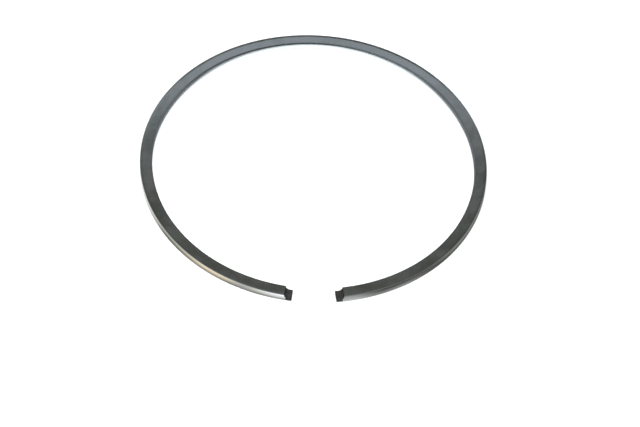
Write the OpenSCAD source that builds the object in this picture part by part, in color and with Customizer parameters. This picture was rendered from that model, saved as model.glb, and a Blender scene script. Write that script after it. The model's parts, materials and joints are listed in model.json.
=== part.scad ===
// Compression ring for a two-stroke piston, in its free state: a split ring of rectangular section
// with a notch in the upper flank at each end, which clears the locating pin in the piston's groove.
// Millimetres. The ring lies on its lower flank at z = 0, its axis is the Z axis and its gap faces -Y.

/* [Ring] */
// Outside diameter of the ring while it is free
free_d = 64.4; // [50:0.1:90]
// Radial thickness of the wall, from the inner face to the running face
radial_t = 2.3; // [1.8:0.05:3.5]
// Axial height of the wall, from the lower flank to the upper flank
axial_h = 1.5; // [1.2:0.05:3]
// Width of the free gap, straight across between the outer corners of the ends
free_gap = 8.1; // [4:0.1:14]

/* [Edges] */
// Chamfer along both edges of the inner face
inner_chamfer = 0.2; // [0.05:0.05:0.35]
// Chamfer along both edges of the running face, which is kept sharper
running_chamfer = 0.08; // [0.02:0.02:0.2]

/* [Locating notches] */
// Length of each notch along the ring, from the end face to the step
notch_l = 1.35; // [1.15:0.05:3]
// Depth of each notch below the upper flank
notch_depth = 1.05; // [0.4:0.05:1.15]
// Radius of the hollow round between the notch floor and the step
notch_root_r = 0.85; // [0.2:0.05:1.1]

/* [Hidden] */
$fn = 240;
outer_r = free_d / 2;
inner_r = outer_r - radial_t;
// Angle that the gap takes out of the full circle
gap_angle = 2 * asin(free_gap / free_d);
// Direction of the end face on the +X side, about the Z axis from +X
end_angle = gap_angle / 2 - 90;
// How far the notch cutter runs out past the faces it crosses
run_out = 1;

// Section of the wall as (radius, height): a rectangle with its four edges chamfered
module wall_section() {
    polygon([
        [inner_r + inner_chamfer, 0],
        [outer_r - running_chamfer, 0],
        [outer_r, running_chamfer],
        [outer_r, axial_h - running_chamfer],
        [outer_r - running_chamfer, axial_h],
        [inner_r + inner_chamfer, axial_h],
        [inner_r, axial_h - inner_chamfer],
        [inner_r, inner_chamfer]
    ]);
}

// Outline of the notch cutter as (distance from the end face, height above the notch floor)
module notch_outline() {
    translate([-run_out, 0])
        square([run_out + notch_l - notch_root_r, notch_depth + run_out]);
    translate([notch_l - notch_root_r, notch_root_r])
        circle(r = notch_root_r);
    translate([0, notch_root_r])
        square([notch_l, notch_depth + run_out - notch_root_r]);
}

// Cutter for the notch at the +X end, run straight through the wall along the end face
module notch_cutter() {
    rotate([0, 0, end_angle])
        translate([inner_r - run_out, 0, axial_h - notch_depth])
            rotate([90, 0, 90])
                linear_extrude(height = radial_t + 2 * run_out)
                    notch_outline();
}

// The ring is one solid: the wall swept round to the two radial end faces, less the notches
module piston_ring() {
    color([0.30, 0.31, 0.31])
        difference() {
            rotate([0, 0, end_angle])
                rotate_extrude(angle = 360 - gap_angle)
                    wall_section();
            notch_cutter();
            mirror([1, 0, 0])
                notch_cutter();
        }
}

piston_ring();
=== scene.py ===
import json
import math

import bpy
import numpy as np
from mathutils import Matrix, Vector

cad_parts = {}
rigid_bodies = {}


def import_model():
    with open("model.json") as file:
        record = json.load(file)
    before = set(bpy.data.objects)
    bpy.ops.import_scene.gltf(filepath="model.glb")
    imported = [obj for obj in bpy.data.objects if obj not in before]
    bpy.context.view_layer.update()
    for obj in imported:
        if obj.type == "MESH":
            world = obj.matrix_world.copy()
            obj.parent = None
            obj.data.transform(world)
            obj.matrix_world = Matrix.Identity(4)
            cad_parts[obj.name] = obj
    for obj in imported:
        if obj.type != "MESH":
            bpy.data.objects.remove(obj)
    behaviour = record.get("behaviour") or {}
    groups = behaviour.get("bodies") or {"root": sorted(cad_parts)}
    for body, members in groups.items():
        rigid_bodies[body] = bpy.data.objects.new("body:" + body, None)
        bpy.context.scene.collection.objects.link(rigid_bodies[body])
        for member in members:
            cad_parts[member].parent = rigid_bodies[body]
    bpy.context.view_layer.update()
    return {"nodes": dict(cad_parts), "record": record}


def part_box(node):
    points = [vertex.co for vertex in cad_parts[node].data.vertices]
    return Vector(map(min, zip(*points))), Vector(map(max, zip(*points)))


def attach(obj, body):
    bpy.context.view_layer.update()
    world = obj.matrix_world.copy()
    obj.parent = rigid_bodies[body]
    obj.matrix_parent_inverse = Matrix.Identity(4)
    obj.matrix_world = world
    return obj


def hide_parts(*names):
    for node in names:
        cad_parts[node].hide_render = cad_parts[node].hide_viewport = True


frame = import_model()
scene = bpy.context.scene
mm = 0.001
print("frame loaded:", sorted(frame["nodes"]))


class Wire:
    # one shader socket, so that sums on values can be written as sums

    def __init__(self, graph, socket):
        self.graph = graph
        self.socket = socket

    def __getitem__(self, name):
        return Wire(self.graph, self.socket.node.outputs[name])

    def maths(self, operation, first, second):
        return self.graph.node("ShaderNodeMath", {"operation": operation}, {0: first, 1: second})

    def __add__(self, other):
        return self.maths("ADD", self, other)

    def __radd__(self, other):
        return self.maths("ADD", other, self)

    def __sub__(self, other):
        return self.maths("SUBTRACT", self, other)

    def __rsub__(self, other):
        return self.maths("SUBTRACT", other, self)

    def __mul__(self, other):
        return self.maths("MULTIPLY", self, other)

    def __rmul__(self, other):
        return self.maths("MULTIPLY", other, self)

    def __abs__(self):
        return self.maths("ABSOLUTE", self, 0.0)


class Graph:
    # a node tree that is filled by calls of one method

    def __init__(self, owner):
        owner.use_nodes = True
        self.tree = owner.node_tree
        self.tree.nodes.clear()

    def node(self, kind, settings=None, sockets=None):
        made = self.tree.nodes.new(kind)
        for name, value in (settings or {}).items():
            setattr(made, name, value)
        for name, value in (sockets or {}).items():
            if isinstance(value, Wire):
                self.tree.links.new(value.socket, made.inputs[name])
            else:
                made.inputs[name].default_value = value
        return Wire(self, made.outputs[0]) if made.outputs else None

    def place(self, scale, turn=0.0):
        # object coordinates in metres, times a scale for each axis, then turned about Z by radians
        where = self.node("ShaderNodeTexCoord")["Object"]
        sockets = {"Vector": where, "Rotation": (0, 0, turn), "Scale": scale}
        return self.node("ShaderNodeMapping", {}, sockets)

    def noise(self, waves, detail, rough, turn=0.0):
        # noise with so many waves to the metre along each axis
        sockets = {"Vector": self.place(waves, turn), "Scale": 1.0, "Detail": detail, "Roughness": rough}
        return self.node("ShaderNodeTexNoise", {}, sockets)

    def length(self, vector):
        return self.node("ShaderNodeVectorMath", {"operation": "LENGTH"}, {0: vector})["Value"]

    def along(self, vector, way):
        # how far a vector reaches in the direction of another
        return self.node("ShaderNodeVectorMath", {"operation": "DOT_PRODUCT"}, {0: vector, 1: way})["Value"]

    def span(self, value, low, high, to=(0.0, 1.0)):
        # value between low and high, spread smoothly over the two ends given
        sockets = {"Value": value, "From Min": low, "From Max": high, "To Min": to[0], "To Max": to[1]}
        return self.node("ShaderNodeMapRange", {"interpolation_type": "SMOOTHSTEP"}, sockets)

    def mix(self, share, first, second):
        # of this node's sockets, 6 and 7 take the colours and 2 gives the mixed one
        sockets = {"Factor": share, 6: first, 7: second}
        return self.node("ShaderNodeMix", {"data_type": "RGBA"}, sockets)[2]

    def bump(self, height, depth, strength, under=None):
        sockets = {"Height": height, "Distance": depth, "Strength": strength}
        if under:
            sockets["Normal"] = under
        return self.node("ShaderNodeBump", {}, sockets)

    def surface(self, sockets):
        shader = self.node("ShaderNodeBsdfPrincipled", {}, sockets)
        self.node("ShaderNodeOutputMaterial", {}, {"Surface": shader})


def colour(*rgb):
    return (*rgb, 1.0)


def blended(first, second, share):
    # two values added up, the second with the share given and the first with the rest
    return first * (1 - share) + second * share


# The ring: one section carried from end to end round the axis, with the gap towards -Y
ringBody = {
    "freeGap": 8.1 * mm,  # straight across between the outer corners of the ends
    "innerChamfer": 0.2 * mm,
    "runningChamfer": 0.08 * mm,
    "notchLength": 1.35 * mm,
    "notchDepth": 1.05 * mm,
    "notchRoot": 0.85 * mm,  # hollow round at the foot of the step
    "brokenEdge": 0.03 * mm,  # what is left of a chamfer where the notch cuts it away
    "edgeRound": 0.05 * mm,  # blend where a chamfer meets a face
    "roundLimit": 1.4,  # most that this blend may be, as a multiple of the chamfer
    "endRound": 0.06 * mm,  # worn edge round each end face
    "dullWall": 1.1 * mm,  # from the end face, how far the running face wears the black cut finish, as painted shade for the dark reflection under the notch
    "parallelTo": 2.0 * mm,  # from the end face, where sections stop being parallel to it
    "radialFrom": 8.0 * mm,  # and where they all point at the axis
    "step": 0.4 * mm,  # between sections along the plain part of the ring
    "firstStep": 0.04 * mm,  # beside the step of the notch, from where they widen
    "sections": {"worn": 8, "floor": 5, "hollow": 30, "lip": 8, "easing": 22},  # in each form
    "roundSteps": 4,  # segments in each blend of the section
    "strips": 5,  # stretches that the wall is cut into on its map
    "stripGap": 0.4 * mm,  # left bare between them
}


def endToBack(p, height, reach):
    # Half of the ring as (distance from the end face, height of the upper face, inset of the section):
    # worn edge of the end, notch floor, its hollow round, lip of the step, then the plain flank.
    # The rounds are quarter circles, and the steps along the flank grow evenly up to the plain part.
    floorZ = height - p["notchDepth"]
    flat = p["notchLength"] - p["notchRoot"]
    lip = p["notchDepth"] - p["notchRoot"]
    quarter = math.pi / 2
    count = p["sections"]
    worn = np.linspace(0, quarter, count["worn"])
    level = np.linspace(p["endRound"], flat, count["floor"] + 2)[1:-1]
    hollow = np.linspace(0, quarter, count["hollow"])
    turn = np.linspace(0, quarter, count["lip"] + 1)[1:]
    widening = np.linspace(p["firstStep"], p["step"], count["easing"])
    easing = p["notchLength"] + lip + np.cumsum(widening)
    plain = np.linspace(easing[-1], reach, int((reach - easing[-1]) / p["step"]) + 1)[1:]
    along = np.concatenate([
        p["endRound"] * (1 - np.cos(worn)),
        level,
        flat + p["notchRoot"] * np.sin(hollow),
        p["notchLength"] + lip * (1 - np.cos(turn)),
        easing,
        plain,
    ])
    top = np.concatenate([
        np.full(len(worn) + len(level), floorZ),
        floorZ + p["notchRoot"] * (1 - np.cos(hollow)),
        height - lip + lip * np.sin(turn),
        np.full(len(easing) + len(plain), height),
    ])
    inset = np.zeros_like(along)
    inset[:len(worn)] = p["endRound"] * (1 - np.sin(worn))
    notch = len(worn) + len(level) + len(hollow) + len(turn) // 2  # sections up to the middle of the lip
    return along, top, inset, notch


def sectionLoop(p, inner, outer, low, top, height):
    # Closed outline of the wall as (radius, height), one row for each section: eight corners of 45 degrees,
    # each replaced by an arc whose middle lies on the inside of both faces
    lost = height - top
    atInner = np.maximum(p["innerChamfer"] - lost, p["brokenEdge"])
    atOuter = np.maximum(p["runningChamfer"] - lost, p["brokenEdge"])
    belowInner = np.full_like(top, p["innerChamfer"])
    belowOuter = np.full_like(top, p["runningChamfer"])
    corners = np.stack([
        np.stack([inner + belowInner, low], 1),
        np.stack([outer - belowOuter, low], 1),
        np.stack([outer, low + belowOuter], 1),
        np.stack([outer, top - atOuter], 1),
        np.stack([outer - atOuter, top], 1),
        np.stack([inner + atInner, top], 1),
        np.stack([inner, top - atInner], 1),
        np.stack([inner, low + belowInner], 1),
    ], 1)
    beside = [belowInner, belowOuter, belowOuter, atOuter, atOuter, atInner, atInner, belowInner]
    radius = np.minimum(p["edgeRound"], p["roundLimit"] * np.stack(beside, 1))[:, :, None]
    heading = np.radians(np.arange(8) * 45.0 - 45.0)  # direction of travel into each corner
    ahead = np.stack([np.cos(heading), np.sin(heading)], 1)
    inward = np.stack([-np.sin(heading), np.cos(heading)], 1)
    middle = corners - ahead * radius * math.tan(math.pi / 8) + inward * radius
    sweep = np.linspace(0, math.pi / 4, p["roundSteps"] + 1)
    facing = heading[:, None] - math.pi / 2 + sweep  # direction that each point of an arc faces
    spokes = np.stack([np.cos(facing), np.sin(facing)], 2)
    loop = middle[:, :, None, :] + radius[:, :, :, None] * spokes
    return loop.reshape(len(top), -1, 2), facing.ravel()


def ringMesh(p, inner, outer, height):
    # The section loops set out round the axis, from one end to the back and mirrored on to the other end,
    # with a lid on each end
    halfGap = math.asin(p["freeGap"] / (2 * outer))
    middle = (inner + outer) / 2
    reach = (math.pi - halfGap) * middle
    along, top, inset, notch = endToBack(p, height, reach)
    mirrored = np.concatenate([np.arange(len(along)), np.arange(len(along) - 2, -1, -1)])
    loop, facing = sectionLoop(p, inner + inset, outer - inset, inset, top - inset, height - inset)
    radius, rise = loop[:, :, 0], loop[:, :, 1]
    # sections stay parallel to the end face through the notch, then turn gradually to point at the axis
    ease = np.clip((along - p["parallelTo"]) / (p["radialFrom"] - p["parallelTo"]), 0, 1)[:, None]
    ease = ease * ease * (3 - 2 * ease)
    level = along[:, None]
    parallel = np.arcsin(np.minimum(level / radius, 1))  # held at a right angle, where it no longer counts
    angle = (halfGap + (1 - ease) * parallel + ease * level / middle)[mirrored]
    angle[len(along):] = 2 * math.pi - angle[len(along):]
    radius, rise = radius[mirrored], rise[mirrored]
    points = np.stack([radius * np.sin(angle), -radius * np.cos(angle), rise], 2)
    # the normal is across two tangents: along the ring, and round the section
    tangent = np.gradient(points, axis=0)
    acrossR, acrossZ = -np.sin(facing), np.cos(facing)
    girthwise = np.stack([acrossR * np.sin(angle), -acrossR * np.cos(angle), acrossZ + 0 * angle], 2)
    normals = np.cross(tangent, girthwise)
    normals /= np.linalg.norm(normals, axis=2, keepdims=True)
    stations, around = radius.shape
    index = np.arange(stations * around).reshape(stations, around)
    after = np.roll(index, -1, axis=1)
    walls = np.stack([index[:-1], index[1:], after[1:], after[:-1]], 2).reshape(-1, 4)
    pair = np.arange(around // 2 - 1)
    lid = np.stack([pair, pair + 1, around - 2 - pair, around - 1 - pair], 1)
    faces = np.concatenate([walls, lid, (stations - 1) * around + lid[:, ::-1]])
    # which finish each face wears: 0 flank, 1 running face, 2 inner face, 3 cut ends and notches
    corner = np.arange(around) // (p["roundSteps"] + 1)
    flat = np.arange(around) % (p["roundSteps"] + 1) == p["roundSteps"]  # the face after a corner's arc
    onArc = np.array([2, 1, 1, 1, 1, 0, 0, 2])[corner]
    onFlat = np.array([0, 1, 1, 1, 0, 2, 2, 2])[corner]
    place = np.arange(stations - 1)
    place = np.minimum(place, place[::-1])[:, None]  # counted from the nearer end
    atEnd = place < p["sections"]["worn"] - 1
    inNotch = (place < notch - 1) & ((corner == 4) | ((corner == 5) & ~flat))
    # painted shade: close to the ends the running face wears the black cut finish
    paintedShade = (along[place] < p["dullWall"]) & np.isin(corner, [2, 3])
    finish = np.where(atEnd | inNotch | paintedShade, 3, np.where(flat, onFlat, onArc))
    finish = np.concatenate([finish.ravel(), np.full(2 * len(lid), 3)])
    unrolled = stripMap(p, points, lid)
    return points.reshape(-1, 3), normals.reshape(-1, 3), faces, finish, unrolled


def stripMap(p, points, lid):
    # The wall unrolled to true length: the way along the ring runs across the map, and the way round the
    # section runs up it, in strips one above another. The end faces lie side by side above them.
    stations, around = points.shape[:2]
    line = points.mean(1)
    travel = np.append(0, np.cumsum(np.linalg.norm(np.diff(line, axis=0), axis=1)))
    plain = points[stations // 2]
    girth = np.append(0, np.cumsum(np.linalg.norm(np.roll(plain, -1, axis=0) - plain, axis=1)))
    starts = np.searchsorted(travel, np.arange(p["strips"]) * travel[-1] / p["strips"])
    which = np.searchsorted(starts, np.arange(stations - 1), "right") - 1
    pitch = girth[-1] + p["stripGap"]
    before = (travel[:-1] - travel[starts[which]])[:, None] + np.zeros(around)
    after = (travel[1:] - travel[starts[which]])[:, None] + np.zeros(around)
    low = (which * pitch)[:, None] + girth[:-1]
    high = (which * pitch)[:, None] + girth[1:]
    walls = np.stack([
        np.stack([before, low], 2),
        np.stack([after, low], 2),
        np.stack([after, high], 2),
        np.stack([before, high], 2),
    ], 2).reshape(-1, 4, 2)
    outline = np.stack([np.hypot(points[0, :, 0], points[0, :, 1]), points[0, :, 2]], 1)
    outline += (0, p["strips"] * pitch) - outline.min(0)
    mirrored = outline * (-1, 1) + (2 * outline[:, 0].max() + p["stripGap"], 0)
    unrolled = np.concatenate([walls, outline[lid], mirrored[lid[:, ::-1]]]).reshape(-1, 2)
    unrolled += p["stripGap"] / 2
    return unrolled / (unrolled.max(0) + p["stripGap"] / 2)


def makeMesh(name, points, normals, faces, finish, unrolled):
    mesh = bpy.data.meshes.new(name)
    mesh.vertices.add(len(points))
    mesh.vertices.foreach_set("co", points.astype(np.float32).ravel())
    mesh.loops.add(faces.size)
    mesh.loops.foreach_set("vertex_index", faces.astype(np.int32).ravel())
    mesh.polygons.add(len(faces))
    mesh.polygons.foreach_set("loop_start", np.arange(0, faces.size, 4, dtype=np.int32))
    mesh.polygons.foreach_set("loop_total", np.full(len(faces), 4, dtype=np.int32))
    mesh.polygons.foreach_set("material_index", finish.astype(np.int32))
    mesh.uv_layers.new(name="OFBake").uv.foreach_set("vector", unrolled.astype(np.float32).ravel())
    mesh.update(calc_edges=True)
    mesh.validate()
    mesh.shade_smooth()
    mesh.normals_split_custom_set_from_vertices(normals.astype(np.float32))
    piece = bpy.data.objects.new(name, mesh)
    scene.collection.objects.link(piece)
    return piece


mounts = {mount["name"]: mount for mount in frame["record"]["mounts"]}
innerRadius = mounts["piston_bore"]["dims"]["r_mm"] * mm
outerRadius = mounts["running_face"]["dims"]["r_mm"] * mm
lowCorner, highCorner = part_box("piston_ring")
ringHeight = highCorner[2] - lowCorner[2]
ring = makeMesh("ring_body", *ringMesh(ringBody, innerRadius, outerRadius, ringHeight))
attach(ring, "root")
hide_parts("piston_ring")
print("ring body:", len(ring.data.vertices), "points", len(ring.data.polygons), "faces")


# In the finishes below, a noise is given by its waves to the metre along each axis, its detail and its
# roughness, a spread by the values that count as none and as full, and relief by its depth and strength

# Both flanks: lapped dull grey iron, a little uneven, darker along both edges as painted shade, with faint
# scratches
flankIron = {
    "dark": colour(0.128, 0.132, 0.125),
    "pale": colour(0.210, 0.214, 0.206),
    "mottle": ((320, 320, 320), 4.0, 0.6),
    "mottleSpread": (0.3, 0.7),
    "grain": ((7000, 7000, 7000), 3.0, 0.6),
    "toneGrain": 0.3,  # share of the grain in the tone, beside the mottle
    "rough": (0.28, 0.37),
    "roughSpread": (0.35, 0.65),
    "roughGrain": 0.4,
    "scratch": colour(0.36, 0.37, 0.36),
    "scratchShare": 0.35,
    # long thin marks, from two fields of noise: turn of the field in radians, noise, spread
    "scratches": (
        (0.4, ((150, 9000, 150), 2.0, 0.5), (0.66, 0.73)),
        (1.9, ((150, 8000, 150), 2.0, 0.5), (0.68, 0.75)),
    ),
    "edge": colour(0.046, 0.054, 0.062),
    "edgeWidth": (0.12 * mm, 0.50 * mm),  # fully dark, no longer dark
    "edgeShare": (0.20, 0.25),  # along the running face, along the inner face
    "rollWidth": 0.55 * mm,  # beside the running face, where lapping has rolled the flank over
    "rollDrop": 0.09 * mm,
    "heights": (0.6, 0.4),  # of the grain, and of the scratches below it
    "relief": (0.004 * mm, 0.6),
}


def flankFinish(p, bore, rim):
    material = bpy.data.materials.new("lapped_flank")
    g = Graph(material)
    mottle = g.noise(*p["mottle"])
    grain = g.noise(*p["grain"])
    first, second = (g.span(g.noise(*noise, turn), *spread) for turn, noise, spread in p["scratches"])
    marks = blended(first, second, 0.5)
    uneven = blended(g.span(mottle, *p["mottleSpread"]), grain, p["toneGrain"])
    tone = g.mix(uneven, p["dark"], p["pale"])
    tone = g.mix(marks * p["scratchShare"], tone, p["scratch"])
    out = g.length(g.place((1, 1, 0)))  # distance from the axis
    near, far = p["edgeWidth"]
    atOuter = g.span(out, rim - far, rim - near)
    atInner = g.span(out, bore + far, bore + near)
    # painted shade: the tone darkens towards the outer and inner edges
    tone = g.mix(atOuter * p["edgeShare"][0] + atInner * p["edgeShare"][1], tone, p["edge"])
    # the rolled strip drops evenly, from nothing at its inner edge to the full drop at the running face
    over = (out - rim) * (1 / p["rollWidth"]) + 1
    over = over.maths("MAXIMUM", over, 0.0)
    rolled = g.bump(0 - over, p["rollDrop"], 1.0)
    up, down = p["heights"]
    g.surface({
        "Base Color": tone,
        "Metallic": 1.0,
        "Roughness": g.span(blended(mottle, grain, p["roughGrain"]), *p["roughSpread"], p["rough"]),
        "Normal": g.bump(grain * up - marks * down, *p["relief"], rolled),
    })
    return material


# Running face: polished, with fine lines round the ring
runningIron = {
    "clean": colour(0.56, 0.565, 0.56),
    "line": colour(0.42, 0.425, 0.42),
    "lines": ((70, 70, 16000), 3.0, 0.65),
    "lineSpread": (0.35, 0.7),
    "cloud": ((250, 250, 250), 3.0, 0.55),
    "rough": (0.17, 0.27),
    "roughSpread": (0.35, 0.65),
    "roughCloud": 0.4,  # share of the cloud in the roughness, beside the lines
    "relief": (0.003 * mm, 0.5),
}


def runningFinish(p):
    material = bpy.data.materials.new("polished_running_face")
    g = Graph(material)
    lines = g.noise(*p["lines"])
    cloud = g.noise(*p["cloud"])
    g.surface({
        "Base Color": g.mix(g.span(lines, *p["lineSpread"]), p["clean"], p["line"]),
        "Metallic": 1.0,
        "Roughness": g.span(blended(lines, cloud, p["roughCloud"]), *p["roughSpread"], p["rough"]),
        "Normal": g.bump(lines, *p["relief"]),
    })
    return material


# Inner face: turned, brighter than the flanks, with tool marks round the ring, and chamfers darkened as
# painted shade
innerIron = {
    "crest": colour(0.80, 0.81, 0.81),
    "groove": colour(0.62, 0.63, 0.63),
    "lines": ((50, 50, 11000), 2.0, 0.6),
    "lineSpread": (0.35, 0.65),
    "edge": colour(0.285, 0.295, 0.305),
    "edgeWidth": (0.16 * mm, 0.26 * mm),  # from the flanks: fully dark, no longer dark
    "cloud": ((300, 300, 300), 3.0, 0.5),
    "rough": (0.22, 0.34),
    "roughSpread": (0.3, 0.7),
    "relief": (0.004 * mm, 0.6),
}


def innerFinish(p, height):
    material = bpy.data.materials.new("turned_inner_face")
    g = Graph(material)
    lines = g.noise(*p["lines"])
    half = height / 2
    near, far = p["edgeWidth"]
    level = g.along(g.place((1, 1, 1)), (0, 0, 1))
    # painted shade: darker towards both flanks, over the chamfers
    atEdge = g.span(abs(level - half), half - far, half - near)
    tone = g.mix(g.span(lines, *p["lineSpread"]), p["crest"], p["groove"])
    g.surface({
        "Base Color": g.mix(atEdge, tone, p["edge"]),
        "Metallic": 1.0,
        "Roughness": g.span(g.noise(*p["cloud"]), *p["roughSpread"], p["rough"]),
        "Normal": g.bump(lines, *p["relief"]),
    })
    return material


# Cut ends and notches: black and dull, painted shade for the dark notches, with cutter lines across the
# wall
cutIron = {
    "dark": colour(0.024, 0.024, 0.023),
    "line": colour(0.055, 0.055, 0.052),
    "lines": ((9000, 900, 9000), 2.0, 0.6),
    "lineSpread": (0.4, 0.65),
    "lineCloud": 0.4,  # share of the cloud in the tone, beside the lines
    "cloud": ((1200, 1200, 1200), 3.0, 0.5),
    "metallic": 0.5,
    "specular": 0.25,
    "rough": (0.50, 0.65),
    "roughSpread": (0.3, 0.7),
    "relief": (0.005 * mm, 0.6),
}


def cutFinish(p):
    material = bpy.data.materials.new("milled_ends")
    g = Graph(material)
    lines = g.noise(*p["lines"])
    cloud = g.noise(*p["cloud"])
    uneven = g.span(blended(lines, cloud, p["lineCloud"]), *p["lineSpread"])
    # the black base colour is painted shade for the notches, carried on to the end faces
    g.surface({
        "Base Color": g.mix(uneven, p["dark"], p["line"]),
        "Metallic": p["metallic"],
        "Specular IOR Level": p["specular"],
        "Roughness": g.span(cloud, *p["roughSpread"], p["rough"]),
        "Normal": g.bump(lines, *p["relief"]),
    })
    return material


# in the order of the numbers that the faces wear
ring.data.materials.append(flankFinish(flankIron, innerRadius, outerRadius))
ring.data.materials.append(runningFinish(runningIron))
ring.data.materials.append(innerFinish(innerIron, ringHeight))
ring.data.materials.append(cutFinish(cutIron))
print("finishes:", [finish.name for finish in ring.data.materials])


# Studio: a pale floor that the lens sees burnt out, with painted reflections on it that only the metal
# sees, soft lights behind the ring and overhead
studio = {
    "floorSize": 3.0,
    "floorTone": colour(0.90, 0.90, 0.90),
    "floorGlow": (0.55, 1.06),  # how far the lens sees the floor as burnt out, and how bright
    # painted reflections in the floor inside the ring, which only the inner face sees: by the wall at the
    # front, at the back, and further in
    "insideFront": colour(0.465, 0.50, 0.52),
    "insideBack": colour(1.674, 1.80, 1.872),
    "insideMeet": (-14 * mm, 4 * mm),  # along Y, where the front gives way to the back
    "insideFar": colour(0.1767, 0.19, 0.1976),
    "insideReach": 1.10 * mm,  # from the wall to where further in begins, at its most
    "insideAt": 86,  # direction in which it is at its most, in degrees
    "insideSoft": 0.22 * mm,
    "underWall": 1.0 * mm,  # from the running face inwards, where the floor inside meets that outside
    # painted reflections in the floor outside the ring, which only the running face sees: tint close to the
    # wall, tint further out; on the left a lit floor with painted shade close to the wall, on the right
    # painted shadow
    "leftFloor": ((0.26, 0.26, 0.23), (1.12, 1.14, 0.92)),
    "rightFloor": ((0.10, 0.10, 0.09), (0.15, 0.15, 0.13)),
    "sidesMeet": (0.46, 0.62),  # places run from 0 at the far left to 1 at the far right
    "closeTo": (0.20 * mm, 0.95 * mm),  # from the wall, where the first tint gives way to the second
    # painted reflections lying on that floor: place, half width, tint close to the wall, tint further out
    "cards": {
        "white": (0.00, 0.09, (1.20, 1.20, 1.18), (1.60, 1.60, 1.56)),
        "warm": (0.20, 0.11, (0.60, 0.54, 0.46), (1.90, 1.60, 1.20)),
        "grey": (0.30, 0.05, (0.48, 0.47, 0.46), (0.95, 0.93, 0.90)),
        "bright": (0.42, 0.13, (0.65, 0.65, 0.65), (2.00, 2.04, 2.12)),
        "pale": (0.60, 0.14, (0.95, 0.96, 0.96), (0.60, 0.61, 0.60)),
        "foot": (0.74, 0.13, (0.50, 0.51, 0.50), (0.09, 0.09, 0.08)),
        "side": (0.94, 0.12, (0.22, 0.22, 0.20), (0.55, 0.56, 0.52)),
    },
    "skyTint": (0.90, 0.98, 1.05),
    "sky": 0.50,
    # patches of another brightness: direction and height in degrees, how far from there they are full and
    # how far they reach, in degrees too, and how bright
    "patches": {
        "behind": (90, 49, 24, 40, 0.06),  # a black flag in the part that the flanks mirror to the lens
        "front": (-55, 36, 28, 52, 0.24),
        "above": (-90, 85, 12, 30, 0.80),
    },
    "backdrop": 1.15,
    # direction and height in degrees, distance, what it points at, width, height, radiance, tint,
    # whether metal mirrors it
    "lights": {
        "overhead": (-120, 75, 0.9, (0, 0, 0), 0.7, 0.7, 9.0, (1, 1, 1), False),
        "behind": (90, 53, 0.06, (0, 0.031, 0), 0.11, 0.012, 2.6, (0.85, 0.97, 1.17), True),
        "panel": (90, 49, 0.7, (0, 0, 0), 0.8, 0.8, 0.32, (1.0, 0.99, 0.87), True),
    },
}


def direction(azimuth, elevation):
    # unit vector towards a direction anticlockwise from +X and a height above the floor, in degrees
    turn, rise = math.radians(azimuth), math.radians(elevation)
    return Vector((math.cos(rise) * math.cos(turn), math.cos(rise) * math.sin(turn), math.sin(rise)))


def outsideReflection(p, g, place, which):
    # one tint of the painted reflection in the floor outside the ring, close to the wall (0) or further out
    # (1), with its patches on it
    left, right = colour(*p["leftFloor"][which]), colour(*p["rightFloor"][which])
    tone = g.mix(g.span(place, *p["sidesMeet"]), left, right)
    for middle, halfWidth, *tints in p["cards"].values():
        tone = g.mix(g.span(abs(place - middle), halfWidth, 0.0), tone, colour(*tints[which]))
    return tone


def makeFloor(p, bore, rim):
    half = p["floorSize"] / 2
    corners = [(-half, -half, 0), (half, -half, 0), (half, half, 0), (-half, half, 0)]
    mesh = bpy.data.meshes.new("floor")
    mesh.from_pydata(corners, [], [(0, 1, 2, 3)])
    material = bpy.data.materials.new("pale_floor")
    g = Graph(material)
    where = g.place((1, 1, 1))
    out = g.length(where)
    way = g.node("ShaderNodeVectorMath", {"operation": "NORMALIZE"}, {0: where})
    place = 0.5 + 0.5 * g.along(way, (1, 0, 0))
    close, beyond = outsideReflection(p, g, place, 0), outsideReflection(p, g, place, 1)
    outside = g.mix(g.span(out - rim, *p["closeTo"]), close, beyond)
    # painted reflection of the floor inside the ring: bright towards the back, dark further in
    toBack = g.span(g.along(where, (0, 1, 0)), *p["insideMeet"])
    inside = g.mix(toBack, p["insideFront"], p["insideBack"])
    # further in begins at a distance from the wall that grows as the cube of how well a place is in line
    inLine = abs(g.along(way, direction(p["insideAt"], 0)))
    past = bore - out - inLine * inLine * inLine * p["insideReach"]
    inside = g.mix(g.span(past, -p["insideSoft"], p["insideSoft"]), inside, p["insideFar"])
    mirrored = g.mix(g.span(out, rim, rim - p["underWall"]), outside, inside)
    # the polished faces see the floor as this painted reflection, which glows for glossy rays only
    polish = g.node("ShaderNodeEmission", {}, {"Color": mirrored})
    share, glow = p["floorGlow"]
    matt = g.node("ShaderNodeBsdfDiffuse", {}, {"Color": p["floorTone"]})
    burnt = g.node("ShaderNodeEmission", {}, {"Color": colour(1, 1, 1), "Strength": glow})
    path = g.node("ShaderNodeLightPath")
    seen = g.node("ShaderNodeMixShader", {}, {0: path["Is Camera Ray"] * share, 1: matt, 2: burnt})
    both = g.node("ShaderNodeMixShader", {}, {0: path["Is Glossy Ray"], 1: seen, 2: polish})
    g.node("ShaderNodeOutputMaterial", {}, {"Surface": both})
    mesh.materials.append(material)
    floor = bpy.data.objects.new("floor", mesh)
    scene.collection.objects.link(floor)


def makeSky(p):
    # the camera sees a plain pale backdrop, and the ring sees an even sky with soft patches in it
    world = bpy.data.worlds.new("studio_sky")
    scene.world = world
    g = Graph(world)
    way = g.node("ShaderNodeTexCoord")["Generated"]
    tint = np.array(p["skyTint"])
    tone = colour(*(tint * p["sky"]))
    for azimuth, elevation, full, none, level in p["patches"].values():
        nearness = g.along(way, direction(azimuth, elevation))
        covered = g.span(nearness, math.cos(math.radians(none)), math.cos(math.radians(full)))
        tone = g.mix(covered, tone, colour(*(tint * level)))
    seen = g.node("ShaderNodeLightPath")["Is Camera Ray"]
    tone = g.mix(seen, tone, colour(*[p["backdrop"]] * 3))
    light = g.node("ShaderNodeBackground", {}, {"Color": tone})
    g.node("ShaderNodeOutputWorld", {}, {"Surface": light})


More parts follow.
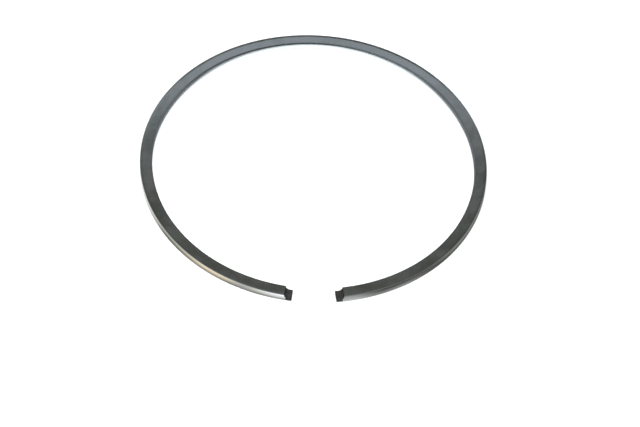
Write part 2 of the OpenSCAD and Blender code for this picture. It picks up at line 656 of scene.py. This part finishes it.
def makeLight(name, azimuth, elevation, distance, target, width, height, radiance, tint, onMetal):
    lamp = bpy.data.lights.new(name, "AREA")
    lamp.shape = "RECTANGLE"
    lamp.size = width
    lamp.size_y = height
    lamp.energy = radiance * math.pi * width * height
    lamp.color = tint
    away = direction(azimuth, elevation)
    light = bpy.data.objects.new(name, lamp)
    light.location = Vector(target) + away * distance
    light.rotation_euler = (-away).to_track_quat("-Z", "Y").to_euler()
    light.visible_camera = False
    light.visible_glossy = onMetal
    scene.collection.objects.link(light)


makeFloor(studio, innerRadius, outerRadius)
makeSky(studio)
for name, values in studio["lights"].items():
    makeLight(name, *values)
print("studio:", len(studio["lights"]), "lights")


# Camera: fitted to the photograph, square on to its own frame, with no shift
lookOut = {
    "distance": 600 * mm,  # from the ring's axis at floor level, along the line of sight
    "azimuth": -93.16,
    "elevation": 49.12,
    "roll": 3.93,
    "pixelsPerMetre": 5383.0,  # at that distance
    "imageWidth": 640,
    "imageHeight": 427,
    "axisAt": (313.3, 167.0),  # pixel where the axis meets the floor
    "sensor": 36.0,
    "clipStart": 10 * mm,
}


def makeCamera(p):
    away = direction(p["azimuth"], p["elevation"])
    roll = math.radians(p["roll"])
    level = Vector((0, 0, 1)).cross(away).normalized()
    upright = away.cross(level)
    right = level * math.cos(roll) + upright * math.sin(roll)
    up = upright * math.cos(roll) - level * math.sin(roll)
    aside = (p["imageWidth"] / 2 - p["axisAt"][0]) / p["pixelsPerMetre"]
    above = (p["axisAt"][1] - p["imageHeight"] / 2) / p["pixelsPerMetre"]
    stand = away * p["distance"]
    back = (stand - right * aside - up * above).normalized()  # from the middle of the picture to the camera
    across = (right - back * right.dot(back)).normalized()
    turn = Matrix((across, back.cross(across), back)).transposed().to_4x4()
    lens = bpy.data.cameras.new("camera")
    lens.sensor_fit = "HORIZONTAL"
    lens.sensor_width = p["sensor"]
    lens.lens = p["sensor"] * p["distance"] * p["pixelsPerMetre"] / p["imageWidth"]
    lens.clip_start = p["clipStart"]
    camera = bpy.data.objects.new("camera", lens)
    camera.matrix_world = Matrix.Translation(stand) @ turn
    scene.collection.objects.link(camera)
    scene.camera = camera


makeCamera(lookOut)
scene.view_settings.view_transform = "Standard"
scene.view_settings.look = "None"
print("camera set")
